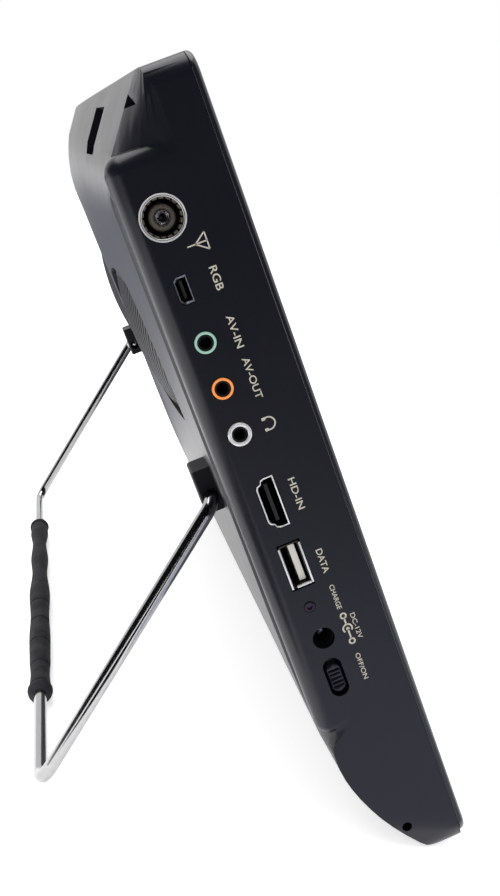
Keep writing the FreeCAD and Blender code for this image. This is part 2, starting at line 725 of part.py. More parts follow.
def group(label, pieces):
    """Identical pieces that share one node, each its own solid."""
    together = doc.addObject("Part::Compound", label)
    together.Links = pieces
    leaned(together, label)


def key_switch(index, x):
    """A push switch: a square case with a round plunger towards the button."""
    case = box(f"switch_case_{index}", ("6", "3.6", "6"), x - 3, SWITCH_TOP_Y + 0.8, size("button_height") - 3)
    plunger = rod(f"switch_plunger_{index}", "1.6", "1", x, SWITCH_TOP_Y, size("button_height"),
                  Vector(0, 1, 0))
    return joined(f"switch_{index}", [case, plunger])


group("key_switches", [key_switch(index, x) for index, x in enumerate(BUTTON_X)])
plate("button_board", "290", "13", "1.6", SWITCH_TOP_Y + 4.4, 0, size("button_height"))
ir_eye = rod("ir_eye_lens", "Sizes.jack_bore + 0.6", "Sizes.bezel_thick", 130, 0.1, size("button_height"),
             Vector(0, 1, 0))
leaned(ir_eye, "ir_window")


# ------------------------------------------------------------------ sockets on the port side
def jack(label, key, ring):
    """A 3.5 mm jack: a round collar through the wall, a moulded case and a blind bore."""
    z = SOCKETS[key]
    y = SOCKET_Y + 0.5
    collar = rod(label + "_collar", ring, "3", FACE + 0.1, y, z)
    case = box(label + "_case", ("12", "6.4", "10"), INSIDE_FACE + 0.2, y - 3.2, z - 5)
    bore = rod(label + "_bore", "Sizes.jack_bore", "Sizes.jack_deep", FACE + 0.1, y, z)
    leaned(cut(label, joined(label + "_solid", [collar, case]), [bore]), label)


jack("av_in_jack", "av_in", "Sizes.jack_ring")
jack("av_out_jack", "av_out", "Sizes.jack_ring")
jack("headphone_jack", "phones", "Sizes.phones_ring")


def antenna_socket():
    """The aerial socket: a turned shell, an insulating tower and a hollow centre contact."""
    y, z = SOCKET_Y - 0.5, SOCKETS["antenna"]
    shell = rod("antenna_tube", "Sizes.antenna_ring", "16", FACE + 0.05, y, z)
    hollow = rod("antenna_hollow", "Sizes.antenna_ring - Sizes.antenna_wall", "14", FACE + 0.05, y, z)
    leaned(cut("antenna_shell", shell, [hollow]), "antenna_shell")
    floor = rod("antenna_floor", "Sizes.antenna_ring - Sizes.antenna_wall", "3", FACE + 11.05, y, z)
    tower = rod("antenna_tower", "3.4", "10", FACE + 1.6, y, z)
    core = rod("antenna_core", "1.95", "12", FACE + 0.05, y, z)
    leaned(cut("antenna_insulator", joined("antenna_mould", [floor, tower]), [core]), "antenna_insulator")
    pin = rod("antenna_pin", "1.95", "11", FACE + 1.05, y, z)
    hole = rod("antenna_pin_hole", "1.15", "9", FACE + 1.05, y, z)
    leaned(cut("antenna_contact", pin, [hole]), "antenna_contact")


antenna_socket()


def hd_socket():
    """The HD socket: a folded shell with a thin tongue."""
    y, z = SOCKET_Y - 1.0, SOCKETS["hd"]
    skin = size("metal_skin")
    shell = shell_profile(hd_outline(0), FACE + 0.1, y, z, 12)
    shell = shell.cut(shell_profile(hd_outline(-skin), FACE - 1, y, z, 11.6))
    shaped("hd_shell", shell)
    tongue = box("hd_tongue_plate", ("9.6", "1", "Sizes.hd_long - 4"), FACE + 1.0, y - 0.6,
                 z - size("hd_long") / 2 + 2)
    leaned(tongue, "hd_tongue")


hd_socket()


def data_socket():
    """The data socket: a rectangular shell with a thick tongue on one side."""
    y, z = SOCKET_Y - 1.2, SOCKETS["data"]
    outside = box("data_outside", ("14", "Sizes.data_tall", "Sizes.data_long"), FACE + 0.3,
                  y - size("data_tall") / 2, z - size("data_long") / 2)
    inside = box("data_inside", ("13", "Sizes.data_tall - 2 * Sizes.metal_skin",
                                 "Sizes.data_long - 2 * Sizes.metal_skin"), FACE + 0.3,
                 y - size("data_tall") / 2 + size("metal_skin"),
                 z - size("data_long") / 2 + size("metal_skin"))
    leaned(cut("data_shell", outside, [inside]), "data_shell")
    tongue = box("data_tongue_plate", ("11", "1.8", "11.1"), FACE + 2.0, y - 1.6, z - 5.55)
    leaned(tongue, "data_tongue")


data_socket()


def rgb_socket():
    """The small multi-pin video socket: a shell with two cut corners and a tongue."""
    y, z = SOCKET_Y + 1.0, SOCKETS["rgb"]
    shell = shell_profile(rgb_outline(1), FACE + 0.15, y, z, 9)
    shell = shell.cut(shell_profile(rgb_outline(0.84), FACE - 1, y, z, 9))
    shaped("rgb_shell", shell)
    leaned(box("rgb_tongue_plate", ("6.6", "0.8", "5"), FACE + 1.4, y - 0.4, z - 2.5), "rgb_tongue")


rgb_socket()

led_y = SOCKET_Y - 0.8
leaned(rod("charge_led_dome", "1.5", "6", FACE + 0.7, led_y, SOCKETS["led"]), "charge_led")


def dc_socket():
    """The power inlet: a moulded case with a deep bore and a centre pin."""
    y, z = SOCKET_Y - 1.4, SOCKETS["dc"]
    case = box("dc_case", ("14", "9", "9"), INSIDE_FACE + 0.2, y - 4.5, z - 4.5)
    bore = rod("dc_bore_tool", "Sizes.dc_bore", "10", INSIDE_FACE, y, z)
    leaned(cut("dc_jack", case, [bore]), "dc_jack")
    leaned(rod("dc_pin_rod", "Sizes.dc_pin", "7.2", FACE + 4.8, y, z), "dc_pin")


dc_socket()

KNOB_Y = SOCKET_Y - 0.8
KNOB_Z = SOCKETS["power"] - 0.35


def power_switch():
    """The slide switch: a fixed case behind the wall and a ribbed knob that slides in the slot."""
    case = box("power_case", ("6", "7", "16"), INSIDE_FACE + 2.1, KNOB_Y - 3.5, SOCKETS["power"] - 8)
    leaned(case, "power_switch_case")
    body = new_body("power_knob", leaning(FACE + 0.25, KNOB_Y, KNOB_Z))
    top = sketch_in(body, "knob_outline", "YZ_Plane")
    draw_stadium(top, size("knob_long"), size("knob_wide"), upright=True)
    pad(body, top, "knob_top", "2.4")
    shoe = sketch_in(body, "knob_shoe_outline", "YZ_Plane", 2.2)
    draw_rectangle(shoe, "shoe", "Sizes.slot_tall + 1", "Sizes.slot_long + 1.6")
    pad(body, shoe, "knob_shoe", "1.6")
    grooves = sketch_in(body, "knob_grooves", "YZ_Plane")
    for index in range(-2, 3):
        draw_rectangle(grooves, f"groove_{index + 2}", "3.2", "0.6", 0, index * 1.3)
    pocket(body, grooves, "knob_groove_cuts", "0.6", reverse=True)


power_switch()
plate("jack_board", "20", "132", "1.6", SOCKET_Y + 4.6, -161, 123)


# ------------------------------------------------------------------ the wire stand
PIVOT_Y, PIVOT_Z = size("pivot_deep"), size("pivot_tall")
pivot = lean.multVec(Vector(0, PIVOT_Y, PIVOT_Z))
drop = pivot.z - size("grip_radius")
ARM_ANGLE = math.acos(drop / size("bail_arm"))
arm_down = Vector(0, math.sin(ARM_ANGLE), -math.cos(ARM_ANGLE))
crossbar = pivot + arm_down * size("bail_arm")
PIN_END = size("bail_half") - 14.0


def bent_path(points, radii):
    """Straight runs joined by tangent arcs; radii belong to the inner points."""
    edges = []
    start = points[0]
    for corner, after, radius in zip(points[1:-1], points[2:], radii):
        inward = (corner - start).normalize()
        outward = (after - corner).normalize()
        half = inward.getAngle(outward) / 2
        reach = radius * math.tan(half)
        arc_start = corner - inward * reach
        arc_end = corner + outward * reach
        toward = (outward - inward).normalize()
        arc_middle = corner + toward * (radius / math.cos(half) - radius)
        edges.append(Part.makeLine(start, arc_start))
        edges.append(Part.Arc(arc_start, arc_middle, arc_end).toShape())
        start = arc_end
    edges.append(Part.makeLine(start, points[-1]))
    return Part.Wire(edges)


def stand_bail():
    """One bent wire: two in-turned pins, two arms and the crossbar."""
    half = size("bail_half")

    def point(x, base):
        return Vector(x, base.y, base.z)

    route = [point(-PIN_END, pivot), point(-half, pivot), point(-half, crossbar),
             point(half, crossbar), point(half, pivot), point(PIN_END, pivot)]
    radii = [size("pin_bend"), size("bail_bend"), size("bail_bend"), size("pin_bend")]
    path = bent_path(route, radii)
    ring = Part.Wire([Part.makeCircle(size("wire_radius"), route[0], Vector(-1, 0, 0))])
    return path.makePipeShell([ring], True, False)


shaped("stand_bail", stand_bail(), Placement())


def bail_grip():
    """The foam sleeve on the crossbar, turned about it, with a ball collar at each end."""
    middle = crossbar + Vector(size("grip_middle"), 0, 0)
    body = new_body("bail_grip", Placement(middle, Rotation(Vector(0, 0, 1), Vector(1, 0, 0))))
    half = size("grip_half")
    outline = sketch_in(body, "grip_outline", "XZ_Plane")
    bore = size("wire_radius") + 0.02
    radius = size("grip_radius")
    corners = [(bore, -half), (radius - 0.4, -half), (radius, -half + 2), (radius, half - 2),
               (radius - 0.4, half), (bore, half)]
    for index, (across, up) in enumerate(corners):
        after = corners[(index + 1) % len(corners)]
        outline.addGeometry(Part.LineSegment(Vector(across, up, 0), Vector(*after, 0)), False)
    for index in range(len(corners)):
        outline.addConstraint(Sketcher.Constraint("Coincident", index, 2, (index + 1) % len(corners), 1))
    sleeve = body.newObject("PartDesign::Revolution", "grip_sleeve")
    sleeve.Profile = outline
    sleeve.ReferenceAxis = (outline, ["V_Axis"])
    sleeve.Angle = 360
    body.Tip = sleeve
    doc.recompute()


bail_grip()


def bail_bracket(label, side):
    """The hinge block on the back: a rounded block with a cross bore for the bail's pin."""
    outer_x = size("bail_half") - size("pin_bend") - 0.5
    x_low = side * outer_x if side < 0 else outer_x - size("bracket_wide")
    y_low = PIVOT_Y - 6
    z_low = PIVOT_Z - 4.7
    block = Part.makeBox(size("bracket_wide"), size("bracket_top") - y_low, size("bracket_long"),
                         Vector(x_low, y_low, z_low))
    upper = [edge for edge in block.Edges
             if min(vertex.Y for vertex in edge.Vertexes) > size("bracket_top") - 1e-6]
    block = block.makeFillet(0.8, upper)
    bore = Part.makeCylinder(size("wire_radius") + size("pin_gap"), size("bracket_wide") + 4,
                             Vector(x_low - 2, PIVOT_Y, PIVOT_Z), Vector(1, 0, 0))
    block = block.cut(bore).cut(case_outside)
    block = block.cut(Part.makeCylinder(1.25, 8, Vector(x_low + size("bracket_wide") / 2, 29, PIVOT_Z + 5.5),
                                        Vector(0, 1, 0)))
    shaped(label, block)


bail_bracket("bail_bracket_left", -1)
bail_bracket("bail_bracket_right", 1)


# ------------------------------------------------------------------ feet and fasteners
def rubber_foot(x):
    """A pad under the heel of the case, flat on the floor."""
    heel = lean.multVec(Vector(0, *HEEL))
    pad_solid = Part.makeBox(34, 14, 6, Vector(x - 17, heel.y - 6, 0))
    case = case_outside.copy()
    case.Placement = lean
    return pad_solid.cut(case)


feet = [rubber_foot(-118), rubber_foot(118)]
feet = [max(foot.Solids, key=lambda solid: solid.CenterOfMass.z * -1) for foot in feet]
shaped("rubber_feet", Part.makeCompound(feet), Placement())


def screw(name, x, y, z, head, shank, length):
    """A screw driven along -y: a round head at y, its shank towards the front."""
    top = rod(name + "_head", f"{head}", "1.6", x, y, z, Vector(0, 1, 0))
    stem = rod(name + "_shank", f"{shank}", f"{length}", x, y - length, z, Vector(0, 1, 0))
    return joined(name, [top, stem])


group("cover_screws", [screw(f"cover_screw_{i}", x, 27.6, COVER_SCREW_Z, 2.9, 1.25, 14)
                       for i, x in enumerate(COVER_SCREWS)])
group("board_screws", [screw(f"board_screw_{i}", x, BOARD_Y + BOARD_THICK, z, 2.4, 1.25, 4)
                       for i, (x, z) in enumerate(BOARD_FIXINGS)])

doc.recompute()

# ------------------------------------------------------------------ check and write
for item in doc.Objects:
    bad = [state for state in item.State if state in ("Invalid", "Error")]
    if bad:
        raise RuntimeError(f"{item.Label}: {bad}")
for piece in nodes:
    shape = piece.Shape
    if shape.isNull() or not shape.isValid() or not shape.Solids:
        raise RuntimeError(f"{piece.Label}: bad shape")

os.makedirs("parts", exist_ok=True)
for piece in nodes:
    piece.Shape.exportStep(f"parts/{piece.Label}.step")
    print(piece.Label, len(piece.Shape.Solids), round(piece.Shape.Volume / 1000, 2), "cm3")
print("lean base", lean.Base, "pivot", pivot, "crossbar", crossbar)
print("open angle", round(math.degrees(ARM_ANGLE + LEAN), 2))
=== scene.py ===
"""Looks for the portable television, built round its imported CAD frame.  Units are metres.

Pieces that belong to the leaning case are drawn in the upright set's own millimetres (x across,
y from the front face to the back, z up the front face) and carried into the row frame by LEAN.
"""
import json
import math

import bmesh
import bpy
from mathutils import Matrix, Vector


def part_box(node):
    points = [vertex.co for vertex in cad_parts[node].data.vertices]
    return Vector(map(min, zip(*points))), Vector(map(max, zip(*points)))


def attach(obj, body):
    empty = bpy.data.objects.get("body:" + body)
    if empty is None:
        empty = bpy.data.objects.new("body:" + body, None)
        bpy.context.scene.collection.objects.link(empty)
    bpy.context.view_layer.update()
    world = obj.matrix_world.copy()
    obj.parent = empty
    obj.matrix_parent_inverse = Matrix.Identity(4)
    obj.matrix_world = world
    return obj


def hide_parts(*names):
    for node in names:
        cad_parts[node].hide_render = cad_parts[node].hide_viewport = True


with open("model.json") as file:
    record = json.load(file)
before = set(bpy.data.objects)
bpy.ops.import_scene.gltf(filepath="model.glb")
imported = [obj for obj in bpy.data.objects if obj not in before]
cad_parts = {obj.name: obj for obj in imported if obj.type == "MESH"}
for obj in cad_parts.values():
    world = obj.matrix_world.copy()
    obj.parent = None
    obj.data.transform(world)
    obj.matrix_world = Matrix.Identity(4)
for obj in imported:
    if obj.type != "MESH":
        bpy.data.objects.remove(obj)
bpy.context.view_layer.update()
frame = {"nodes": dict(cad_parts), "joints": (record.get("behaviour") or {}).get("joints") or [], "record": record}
nodes = frame["nodes"]

# ------------------------------------------------------------------ frame
MM = 0.001
joints = {joint["name"]: joint for joint in frame["joints"]}
slide_axis = Vector(joints["power_slide"]["axis"])
LEAN_ANGLE = math.atan2(-slide_axis.y, -slide_axis.z)
PIVOT_Y, PIVOT_Z = 34.8, 119.0     # the hinge line, as part.py has it
turn = Matrix.Rotation(-LEAN_ANGLE, 4, "X")
pivot = Vector(joints["bail_hinge"]["pos_m"])
hinge_in_set = Vector((0, PIVOT_Y * MM, PIVOT_Z * MM))
LEAN = Matrix.Translation(pivot - turn @ hinge_in_set) @ turn @ Matrix.Scale(MM, 4)
UPRIGHT = LEAN.inverted()
HALF_WIDE = 175.0
FACE = -HALF_WIDE                  # the port side
TOWARDS_PORTS = turn.to_3x3() @ Vector((-1, 0, 0))
TOWARDS_VIEWER = turn.to_3x3() @ Vector((0, -1, 0))
FLAT_COSINE = 0.9999               # a face this well aligned belongs to the flat side
FACE_SLACK = 0.05                  # mm: points this near the nearest one are on its face


def upright_box(node):
    """The lowest and highest corners of a CAD node in the upright set's millimetres."""
    points = [UPRIGHT @ vertex.co for vertex in nodes[node].data.vertices]
    low = Vector([min(point[axis] for point in points) for axis in range(3)])
    high = Vector([max(point[axis] for point in points) for axis in range(3)])
    return low, high


# ------------------------------------------------------------------ node materials
def new_material(name):
    """An empty node material and its Principled shader."""
    material = bpy.data.materials.new(name)
    material.use_nodes = True
    return material, material.node_tree.nodes["Principled BSDF"]


def add(material, kind, **values):
    """A node with its inputs or properties set."""
    node = material.node_tree.nodes.new(kind)
    for key, value in values.items():
        if key in node.inputs:
            node.inputs[key].default_value = value
        else:
            setattr(node, key, value)
    return node


def wire(material, source, target):
    material.node_tree.links.new(source, target)


def noise_field(material, scale, detail=3.0, roughness=0.55, stretch=(1, 1, 1)):
    """Noise in the object's own coordinates, in metres."""
    place = add(material, "ShaderNodeTexCoord")
    mapping = add(material, "ShaderNodeMapping")
    mapping.inputs["Scale"].default_value = stretch
    wire(material, place.outputs["Object"], mapping.inputs["Vector"])
    noise = add(material, "ShaderNodeTexNoise", Scale=scale, Detail=detail, Roughness=roughness)
    wire(material, mapping.outputs["Vector"], noise.inputs["Vector"])
    return noise.outputs["Fac"]


def ranged(material, value, low, high, from_low=0.3, from_high=0.7):
    """A value mapped onto low..high."""
    node = add(material, "ShaderNodeMapRange")
    node.inputs["From Min"].default_value = from_low
    node.inputs["From Max"].default_value = from_high
    node.inputs["To Min"].default_value = low
    node.inputs["To Max"].default_value = high
    wire(material, value, node.inputs["Value"])
    return node.outputs["Result"]


def mixed(material, value, first, second):
    """A colour between first and second by value."""
    node = add(material, "ShaderNodeMix", data_type="RGBA")
    colour_inputs = [item for item in node.inputs if item.type == "RGBA"]
    for item, colour in zip(colour_inputs, (first, second)):
        item.default_value = (*colour, 1)
    wire(material, value, node.inputs["Factor"])
    return next(item for item in node.outputs if item.type == "RGBA")


def bumped(material, shader, value, strength, distance):
    """Bump the shader's normal by value."""
    bump = add(material, "ShaderNodeBump", Strength=strength, Distance=distance)
    wire(material, value, bump.inputs["Height"])
    wire(material, bump.outputs["Normal"], shader.inputs["Normal"])


def clouded(material, shader, value, dark, light):
    """The base colour drifts between dark and light by value."""
    colour = mixed(material, ranged(material, value, 0, 1), dark, light)
    wire(material, colour, shader.inputs["Base Color"])


def moulded(name, dark, light, rough=(0.3, 0.45), grain=2600.0, grain_depth=0.00002, coat=0.0,
            specular=0.5):
    """Moulded plastic: a fine spark texture, slight colour clouding and worn gloss."""
    material, shader = new_material(name)
    clouded(material, shader, noise_field(material, 18.0, 4.0), dark, light)
    smear = noise_field(material, 55.0, 5.0, 0.65, (1, 1, 0.35))
    wire(material, ranged(material, smear, *rough), shader.inputs["Roughness"])
    bumped(material, shader, noise_field(material, grain, 2.0), 0.35, grain_depth)
    shader.inputs["Coat Weight"].default_value = coat
    shader.inputs["Coat Roughness"].default_value = 0.15
    shader.inputs["Specular IOR Level"].default_value = specular
    return material


def metal(name, colour, rough=(0.12, 0.25), scratch=900.0, stretch=(1, 1, 1), grain=0.02,
          plating=1.0):
    """Plated metal with fine drawn scratches."""
    material, shader = new_material(name)
    shader.inputs["Metallic"].default_value = plating
    streak = noise_field(material, scratch, 3.0, 0.6, stretch)
    darker = tuple(channel * 0.86 for channel in colour)
    clouded(material, shader, streak, darker, colour)
    wire(material, ranged(material, streak, *rough), shader.inputs["Roughness"])
    bumped(material, shader, streak, grain, 0.00001)
    return material


def foam(name):
    """Closed-cell foam rubber: open pores, a dull grey skin."""
    material, shader = new_material(name)
    cells = add(material, "ShaderNodeTexVoronoi", Scale=1500.0)
    place = add(material, "ShaderNodeTexCoord")
    wire(material, place.outputs["Object"], cells.inputs["Vector"])
    clouded(material, shader, noise_field(material, 160.0, 4.0),
            (0.012, 0.0125, 0.016), (0.034, 0.035, 0.040))
    shader.inputs["Roughness"].default_value = 0.85
    shader.inputs["Specular IOR Level"].default_value = 0.25
    bumped(material, shader, cells.outputs["Distance"], 0.8, 0.00025)
    return material


def printed(name, colour):
    """Screen-printed ink, a little uneven."""
    material, shader = new_material(name)
    worn = tuple(channel * 0.7 for channel in colour)
    clouded(material, shader, noise_field(material, 1200.0, 3.0), worn, colour)
    shader.inputs["Roughness"].default_value = 0.6
    return material


def screen_glass(name):
    """The dark display with its hard glossy film."""
    material, shader = new_material(name)
    clouded(material, shader, noise_field(material, 6.0, 2.0),
            (0.006, 0.007, 0.010), (0.011, 0.012, 0.016))
    shader.inputs["Roughness"].default_value = 0.07
    shader.inputs["Coat Weight"].default_value = 0.6
    shader.inputs["Coat Roughness"].default_value = 0.03
    bumped(material, shader, noise_field(material, 3500.0, 1.0), 0.04, 0.000005)
    return material


case_black = moulded("case_black", (0.0030, 0.0036, 0.0085), (0.0040, 0.0047, 0.0105),
                     (0.32, 0.35))
bezel_black = moulded("bezel_black", (0.006, 0.0065, 0.011), (0.008, 0.0085, 0.014), (0.2, 0.24),
                      grain=1500.0, grain_depth=0.000005, coat=0.3)
grille_black = moulded("grille_black", (0.012, 0.012, 0.014), (0.03, 0.03, 0.034), (0.4, 0.6))
moulded_black = moulded("moulded_black", (0.006, 0.006, 0.008), (0.014, 0.014, 0.016), (0.4, 0.6))
bracket_black = moulded("bracket_black", (0.003, 0.003, 0.006), (0.005, 0.005, 0.009), (0.4, 0.5),
                        specular=0.25)
button_black = moulded("button_black", (0.02, 0.02, 0.023), (0.03, 0.03, 0.034), (0.2, 0.3),
                       coat=0.3)
foot_rubber = moulded("foot_rubber", (0.02, 0.02, 0.02), (0.035, 0.035, 0.035), (0.8, 0.95))
jack_green = moulded("jack_green", (0.20, 0.38, 0.30), (0.30, 0.50, 0.41), (0.3, 0.45))
jack_orange = moulded("jack_orange", (0.75, 0.20, 0.03), (0.9, 0.33, 0.07), (0.3, 0.45))
socket_grey = moulded("socket_grey", (0.055, 0.046, 0.038), (0.105, 0.09, 0.075), (0.3, 0.5))
socket_brown = moulded("socket_brown", (0.010, 0.006, 0.005), (0.022, 0.013, 0.010), (0.3, 0.5))
tongue_white = moulded("tongue_white", (0.5, 0.48, 0.45), (0.7, 0.68, 0.64), (0.35, 0.5))
board_green = moulded("board_green", (0.01, 0.07, 0.03), (0.02, 0.12, 0.05), (0.3, 0.5))
battery_wrap = moulded("battery_wrap", (0.02, 0.03, 0.12), (0.03, 0.05, 0.2), (0.25, 0.35))
ribbon_film = moulded("ribbon_film", (0.35, 0.2, 0.05), (0.5, 0.3, 0.08), (0.2, 0.3))
light_white = moulded("light_white", (0.65, 0.65, 0.65), (0.8, 0.8, 0.8), (0.5, 0.6))
ir_plastic = moulded("ir_plastic", (0.012, 0.002, 0.003), (0.02, 0.004, 0.006), (0.08, 0.12))
led_violet = moulded("led_violet", (0.03, 0.009, 0.038), (0.05, 0.015, 0.062), (0.15, 0.3))
chrome = metal("chrome", (0.47, 0.47, 0.475), (0.10, 0.15), 500.0, (0.2, 1, 1))
plated = metal("plated", (0.75, 0.75, 0.77), (0.15, 0.3))
dark_metal = metal("dark_metal", (0.22, 0.23, 0.28), (0.3, 0.45))
sheet_metal = metal("sheet_metal", (0.6, 0.6, 0.62), (0.3, 0.45), 200.0)
screw_metal = metal("screw_metal", (0.09, 0.09, 0.10), (0.3, 0.45))
# Near-black for socket insides: painted shade on the deep walls of metal shells and on jack bores, and the dark
# dish in each jack.
socket_black_and_shade = moulded("socket_black_and_shade", (0.002, 0.002, 0.0025), (0.004, 0.004, 0.005), (0.5, 0.65))
# A near-black used only as painted shade, on the shadowed border round the grille slots.
painted_shade_black = moulded("painted_shade_black", (0.001, 0.001, 0.0015), (0.002, 0.002, 0.0025), (0.6, 0.7),
                       specular=0.1)
led_dark = moulded("led_dark", (0.006, 0.002, 0.008), (0.010, 0.003, 0.013), (0.2, 0.3))
ring_metal = metal("ring_metal", (0.74, 0.74, 0.75), (0.15, 0.22), 300.0, grain=0.01,
                   plating=0.45)
finger_brass = metal("finger_brass", (0.20, 0.17, 0.13), (0.3, 0.45), 300.0, plating=0.5)
foam_black = foam("foam_black")
ink = printed("label_ink", (0.44, 0.41, 0.34))
display = screen_glass("display")

SLOT_LOOKS = {
    "case_black": case_black, "bezel_black": bezel_black, "grille_black": grille_black,
    "screen_glass": display, "white_plastic": light_white, "sheet_metal": sheet_metal,
    "circuit_board": board_green, "battery_wrap": battery_wrap, "ribbon_film": ribbon_film,
    "moulded_black": moulded_black, "ir_plastic": ir_plastic, "jack_green": jack_green,
    "jack_orange": jack_orange, "jack_metal": plated, "plated_metal": plated,
    "dark_metal": dark_metal, "socket_grey": socket_grey, "tongue_white": tongue_white,
    "led_plastic": led_violet,
    "chrome_wire": chrome, "foam_black": foam_black, "bracket_black": bracket_black,
    "foot_rubber": foot_rubber, "screw_metal": screw_metal, "button_black": button_black,
}
slot_of = {item["node"]: item["material_slot"] for item in frame["record"]["subparts"]}
for node, piece in nodes.items():
    piece.data.materials.clear()
    piece.data.materials.append(SLOT_LOOKS[slot_of[node]])


# ------------------------------------------------------------------ making pieces
WELD = 2e-6             # metres: corners of facets closer than this are one corner
RIM_CREASE = 50         # degrees, for small turned and bevelled parts


def finished(name, mesh, look, body="set", place=LEAN, replaces=()):
    """A mesh becomes a named piece that rides on a body."""
    mesh.transform(place)
    mesh.materials.clear()
    mesh.materials.append(look)
    piece = bpy.data.objects.new(name, mesh)
    bpy.context.scene.collection.objects.link(piece)
    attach(piece, body)
    if replaces:
        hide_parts(*replaces)
    return piece


def mesh_from(name, bm, crease=None):
    """A bmesh becomes a mesh, shaded smooth up to a crease angle where one is given."""
    mesh = bpy.data.meshes.new(name)
    bm.to_mesh(mesh)
    bm.free()
    if crease:
        mesh.shade_smooth()
        mesh.set_sharp_from_angle(angle=math.radians(crease))
    return mesh


def keep_flat(mesh, facing):
    """The flat face that looks along facing gets sharp edges all round."""
    edge_sides = {}
    for face in mesh.polygons:
        for key in face.edge_keys:
            edge_sides.setdefault(key, set()).add(face.normal.dot(facing) > FLAT_COSINE)
    for edge in mesh.edges:
        if len(edge_sides.get(edge.key, ())) == 2:
            edge.use_edge_sharp = True


def softened(name, node, look, angle=32.0, body="set", inner=None, rim_depth=0.6, facing=None):
    """A CAD node's own shape with its facets blended into smooth surfaces.

    With inner, everything deeper than rim_depth below the port side takes that look instead: painted shade down
    inside a socket.
    With facing, the flat face that looks that way keeps its own flat shading.
    """
    mesh = nodes[node].data.copy()
    bm = bmesh.new()
    bm.from_mesh(mesh)
    bmesh.ops.remove_doubles(bm, verts=bm.verts, dist=WELD)
    bm.to_mesh(mesh)
    bm.free()
    mesh.shade_smooth()
    mesh.set_sharp_from_angle(angle=math.radians(angle))
    if facing:
        keep_flat(mesh, facing)
    piece = finished(name, mesh, look, body, Matrix.Identity(4), (node,))
    if inner:
        mesh.materials.append(inner)
        for face in mesh.polygons:
            deepest = max((UPRIGHT @ mesh.vertices[index].co).x for index in face.vertices)
            if deepest - FACE > rim_depth:
                face.material_index = 1
    weight = piece.modifiers.new("even_normals", "WEIGHTED_NORMAL")
    weight.keep_sharp = True
    weight.weight = 100
    return piece


def paint_border_shade(grille, node, share=0.93, squareness=3):
    """The plain border round a grille's slots is painted deep black: painted shade where the border lies in
    shadow.
    """
    mesh = grille.data
    mesh.materials.append(painted_shade_black)
    low, high = upright_box(node)
    middle = (low + high) / 2
    for face in mesh.polygons:
        centre = UPRIGHT @ face.center
        across = abs(centre.x - middle.x) / ((high.x - low.x) / 2)
        up = abs(centre.z - middle.z) / ((high.z - low.z) / 2)
        if (across ** squareness + up ** squareness) ** (1 / squareness) > share:
            face.material_index = 1


def turned(name, outline, y, z, look, slot, around=64):
    """A closed ring turned about a socket's centre line, from (radius, depth below the side)."""
    bm = bmesh.new()
    rings = []
    for spoke in range(around):
        angle = 2 * math.pi * spoke / around
        rings.append([bm.verts.new((FACE + depth, y + radius * math.cos(angle),
                                    z + radius * math.sin(angle)))
                      for radius, depth in outline])
    count = len(outline)
    for spoke in range(around):
        first, second = rings[spoke], rings[(spoke + 1) % around]
        for index in range(count):
            after = (index + 1) % count
            bm.faces.new((first[index], first[after], second[after], second[index]))
    bmesh.ops.recalc_face_normals(bm, faces=bm.faces)
    finished(name, mesh_from(name, bm, RIM_CREASE), look)


def rounded_rim(inner, outer, rise, depth, steps=10):
    """Half a ring's section: a rounded crest between two radii, closed below."""
    middle, half = (inner + outer) / 2, (outer - inner) / 2
    crest = []
    for step in range(steps + 1):
        angle = math.pi * step / steps
        crest.append((middle - half * math.cos(angle), -rise * math.sin(angle)))
    return crest + [(outer, depth), (inner, depth)]


def socket_centre(node):
    """The (y, z) of the middle of a node's face on the port side."""
    points = [UPRIGHT @ vertex.co for vertex in nodes[node].data.vertices]
    nearest = min(point.x for point in points)
    face = [point for point in points if point.x < nearest + FACE_SLACK]
    return ((min(point.y for point in face) + max(point.y for point in face)) / 2,
            (min(point.z for point in face) + max(point.z for point in face)) / 2)


softened("case_back", "rear_cover", case_black, facing=TOWARDS_PORTS)
softened("case_front", "front_bezel", bezel_black, 40.0, facing=TOWARDS_VIEWER)
softened("stand_wire", "stand_bail", chrome, 40.0, "bail")
softened("hinge_block_left", "bail_bracket_left", bracket_black)
softened("hinge_block_right", "bail_bracket_right", bracket_black)
for side in ("left", "right"):
    grille = softened(f"grille_{side}", f"vent_grille_{side}", grille_black)
    # The grille's border faces take painted shade.
    paint_border_shade(grille, f"vent_grille_{side}")
# The deep walls of the aerial, HD and RGB shells are painted black: painted shade inside the sockets.
softened("aerial_ring", "antenna_shell", ring_metal, inner=socket_black_and_shade, rim_depth=1.5)
softened("aerial_core", "antenna_insulator", socket_grey)
softened("aerial_pin", "antenna_contact", plated)
softened("hd_rim", "hd_shell", ring_metal, inner=socket_black_and_shade, rim_depth=0.5)
softened("data_rim", "data_shell", socket_brown)
# The plated pin takes dark metal: painted shade for a pin that sits deep in its hole.
softened("barrel_pin", "dc_pin", dark_metal)
softened("rgb_rim", "rgb_shell", dark_metal, inner=socket_black_and_shade, rim_depth=0.5)
softened("barrel_socket", "dc_jack", moulded_black)
softened("switch_knob", "power_knob", case_black, body="power_knob")

